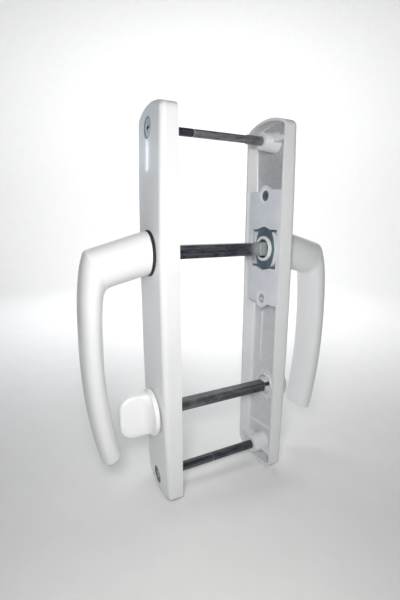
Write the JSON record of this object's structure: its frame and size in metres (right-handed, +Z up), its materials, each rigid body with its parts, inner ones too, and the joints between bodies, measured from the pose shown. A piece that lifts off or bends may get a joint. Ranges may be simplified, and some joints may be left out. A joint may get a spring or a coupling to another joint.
{
  "type": "bathroom door handle set",
  "caption": "Two long white plates with lever handles on a shared square spindle, held by tie bolts, with a privacy thumbturn inside and a coin release outside.",
  "frame": {"origin": "on the lever spindle's axis, midway between the two plates, which is the middle of the door's thickness", "axes": "+Z up along the plates, +Y from the inside plate (thumbturn side) to the outside plate, +X across the plates' width"},
  "size_m": [0.04, 0.1762, 0.24],
  "materials": {
    "white_coat": "white gloss powder coat",
    "zinc_sheet": "zinc-plated sheet",
    "zinc_screw": "zinc-plated",
    "blued_spring_steel": "blued",
    "bright_spring_steel": "bright",
    "dark_steel": "drawn steel, dark oiled",
    "black_steel": "black oxide",
    "black_nylon": "moulded nylon"
  },
  "bodies": {
    "fixed_set": {"inside_plate": "white_coat", "outside_plate": "white_coat", "inside_bearing_plate": "zinc_sheet", "outside_bearing_plate": "zinc_sheet", "inside_bearing_screws": "zinc_screw", "outside_bearing_screws": "zinc_screw", "inside_retaining_ring": "blued_spring_steel", "outside_retaining_ring": "blued_spring_steel", "inside_neck_bush": "black_nylon", "outside_neck_bush": "black_nylon", "top_tie_sleeve": "dark_steel", "bottom_tie_sleeve": "dark_steel", "top_tie_screw": "dark_steel", "bottom_tie_screw": "dark_steel"},
    "lever_pair": {"inside_lever": "white_coat", "outside_lever": "white_coat", "lever_spindle": "dark_steel", "spindle_collar": "zinc_screw", "inside_lever_set_screw": "black_steel", "outside_lever_set_screw": "black_steel"},
    "privacy_set": {"thumbturn": "white_coat", "thumbturn_star_washer": "bright_spring_steel", "privacy_bar": "dark_steel", "release_button": "white_coat", "release_star_washer": "bright_spring_steel"}
  },
  "joints": [
    {"name": "lever_turn", "type": "hinge", "parent": "fixed_set", "child": "lever_pair", "pos_m": [0, 0, 0], "axis": [0, 1, 0], "range_deg": [-90, 90]},
    {"name": "privacy_turn", "type": "hinge", "parent": "fixed_set", "child": "privacy_set", "pos_m": [0, 0, -0.1012], "axis": [0, 1, 0], "range_deg": [-90, 90]}
  ]
}
